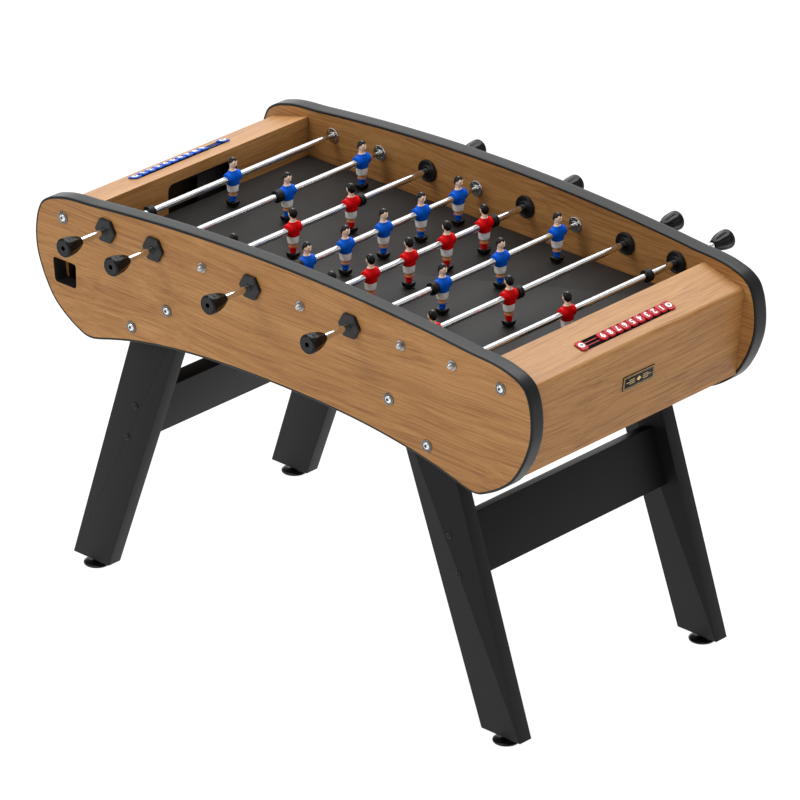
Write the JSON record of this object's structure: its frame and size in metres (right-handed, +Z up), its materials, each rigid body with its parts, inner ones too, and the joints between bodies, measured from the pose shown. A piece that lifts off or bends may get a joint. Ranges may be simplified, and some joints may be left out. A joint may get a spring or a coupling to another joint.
{
  "type": "foosball table",
  "caption": "Full-size table football cabinet with arched wood side panels, splayed black legs and telescopic rods carrying moulded players.",
  "frame": {"origin": "on the floor, under the middle of the playfield", "axes": "+X along the playfield from the blue goal to the red goal, +Y across it towards the red players' handles, +Z up"},
  "size_m": [1.512, 1.052, 0.972],
  "materials": {
    "oak_panel": "oak-grain laminate, satin",
    "oak_end": "oak-grain laminate, satin",
    "playfield_laminate": "plain dark grey laminate, satin",
    "black_board": "black melamine-faced board",
    "black_plastic": "moulded black nylon",
    "black_grip": "moulded black grip, satin",
    "chrome_steel": "bright chromed tube",
    "blue_figure": "painted moulded figure",
    "red_figure": "painted moulded figure",
    "red_counter": "moulded counter",
    "blue_counter": "moulded counter",
    "badge_black": "black lacquered plate with gilt lines"
  },
  "bodies": {
    "table": {"side_panel_near": "oak_panel", "side_panel_far": "oak_panel", "playfield": "playfield_laminate", "end_case_left": "oak_end", "end_case_right": "oak_end", "leg_left_near": "black_board", "leg_left_far": "black_board", "leg_right_near": "black_board", "leg_right_far": "black_board", "crossbar_left": "black_board", "crossbar_right": "black_board", "badge_plate": "badge_black", "rod1_bearing": "black_plastic", "rod2_bearing": "black_plastic", "rod3_bearing": "black_plastic", "rod4_bearing": "black_plastic", "rod5_bearing": "black_plastic", "rod6_bearing": "black_plastic", "rod7_bearing": "black_plastic", "rod8_bearing": "black_plastic"},
    "rod1_sliding_tube": {"rod1_tube": "chrome_steel"},
    "rod1_men_and_handle": {"rod1_handle": "black_grip", "rod1_man1": "blue_figure"},
    "rod2_sliding_tube": {"rod2_tube": "chrome_steel"},
    "rod2_men_and_handle": {"rod2_handle": "black_grip", "rod2_man1": "blue_figure", "rod2_man2": "blue_figure"},
    "rod3_sliding_tube": {"rod3_tube": "chrome_steel"},
    "rod3_men_and_handle": {"rod3_handle": "black_grip", "rod3_man1": "red_figure", "rod3_man2": "red_figure", "rod3_man3": "red_figure"},
    "rod4_sliding_tube": {"rod4_tube": "chrome_steel"},
    "rod4_men_and_handle": {"rod4_handle": "black_grip", "rod4_man1": "blue_figure", "rod4_man2": "blue_figure", "rod4_man3": "blue_figure", "rod4_man4": "blue_figure", "rod4_man5": "blue_figure"},
    "rod5_sliding_tube": {"rod5_tube": "chrome_steel"},
    "rod5_men_and_handle": {"rod5_handle": "black_grip", "rod5_man1": "red_figure", "rod5_man2": "red_figure", "rod5_man3": "red_figure", "rod5_man4": "red_figure", "rod5_man5": "red_figure"},
    "rod6_sliding_tube": {"rod6_tube": "chrome_steel"},
    "rod6_men_and_handle": {"rod6_handle": "black_grip", "rod6_man1": "blue_figure", "rod6_man2": "blue_figure", "rod6_man3": "blue_figure"},
    "rod7_sliding_tube": {"rod7_tube": "chrome_steel"},
    "rod7_men_and_handle": {"rod7_handle": "black_grip", "rod7_man1": "red_figure", "rod7_man2": "red_figure"},
    "rod8_sliding_tube": {"rod8_tube": "chrome_steel"},
    "rod8_men_and_handle": {"rod8_handle": "black_grip", "rod8_man1": "red_figure"},
    "counters_red": {"score_counters_red": "red_counter"},
    "counters_blue": {"score_counters_blue": "blue_counter"}
  },
  "joints": [
    {"name": "rod1_slide", "type": "slide", "parent": "table", "child": "rod1_sliding_tube", "axis": [0, 1, 0], "range_m": [-0.084, 0.025]},
    {"name": "rod1_spin", "type": "hinge", "parent": "rod1_sliding_tube", "child": "rod1_men_and_handle", "pos_m": [-0.525, 0, 0.894], "axis": [0, 1, 0], "continuous": true},
    {"name": "rod2_slide", "type": "slide", "parent": "table", "child": "rod2_sliding_tube", "axis": [0, 1, 0], "range_m": [-0.345, 0.025]},
    {"name": "rod2_spin", "type": "hinge", "parent": "rod2_sliding_tube", "child": "rod2_men_and_handle", "pos_m": [-0.375, 0, 0.894], "axis": [0, 1, 0], "continuous": true},
    {"name": "rod3_slide", "type": "slide", "parent": "table", "child": "rod3_sliding_tube", "axis": [0, -1, 0], "range_m": [-0.213, 0.025]},
    {"name": "rod3_spin", "type": "hinge", "parent": "rod3_sliding_tube", "child": "rod3_men_and_handle", "pos_m": [-0.225, 0, 0.894], "axis": [0, -1, 0], "continuous": true},
    {"name": "rod4_slide", "type": "slide", "parent": "table", "child": "rod4_sliding_tube", "axis": [0, 1, 0], "range_m": [-0.095, 0.025]},
    {"name": "rod4_spin", "type": "hinge", "parent": "rod4_sliding_tube", "child": "rod4_men_and_handle", "pos_m": [-0.075, 0, 0.894], "axis": [0, 1, 0], "continuous": true},
    {"name": "rod5_slide", "type": "slide", "parent": "table", "child": "rod5_sliding_tube", "axis": [0, -1, 0], "range_m": [-0.095, 0.025]},
    {"name": "rod5_spin", "type": "hinge", "parent": "rod5_sliding_tube", "child": "rod5_men_and_handle", "pos_m": [0.075, 0, 0.894], "axis": [0, -1, 0], "continuous": true},
    {"name": "rod6_slide", "type": "slide", "parent": "table", "child": "rod6_sliding_tube", "axis": [0, 1, 0], "range_m": [-0.213, 0.025]},
    {"name": "rod6_spin", "type": "hinge", "parent": "rod6_sliding_tube", "child": "rod6_men_and_handle", "pos_m": [0.225, 0, 0.894], "axis": [0, 1, 0], "continuous": true},
    {"name": "rod7_slide", "type": "slide", "parent": "table", "child": "rod7_sliding_tube", "axis": [0, -1, 0], "range_m": [-0.345, 0.025]},
    {"name": "rod7_spin", "type": "hinge", "parent": "rod7_sliding_tube", "child": "rod7_men_and_handle", "pos_m": [0.375, 0, 0.894], "axis": [0, -1, 0], "continuous": true},
    {"name": "rod8_slide", "type": "slide", "parent": "table", "child": "rod8_sliding_tube", "axis": [0, -1, 0], "range_m": [-0.084, 0.025]},
    {"name": "rod8_spin", "type": "hinge", "parent": "rod8_sliding_tube", "child": "rod8_men_and_handle", "pos_m": [0.525, 0, 0.894], "axis": [0, -1, 0], "continuous": true},
    {"name": "score_red_slide", "type": "slide", "parent": "table", "child": "counters_red", "axis": [0, 1, 0], "range_m": [-0.044, 0]},
    {"name": "score_blue_slide", "type": "slide", "parent": "table", "child": "counters_blue", "axis": [0, -1, 0], "range_m": [-0.044, 0]}
  ]
}
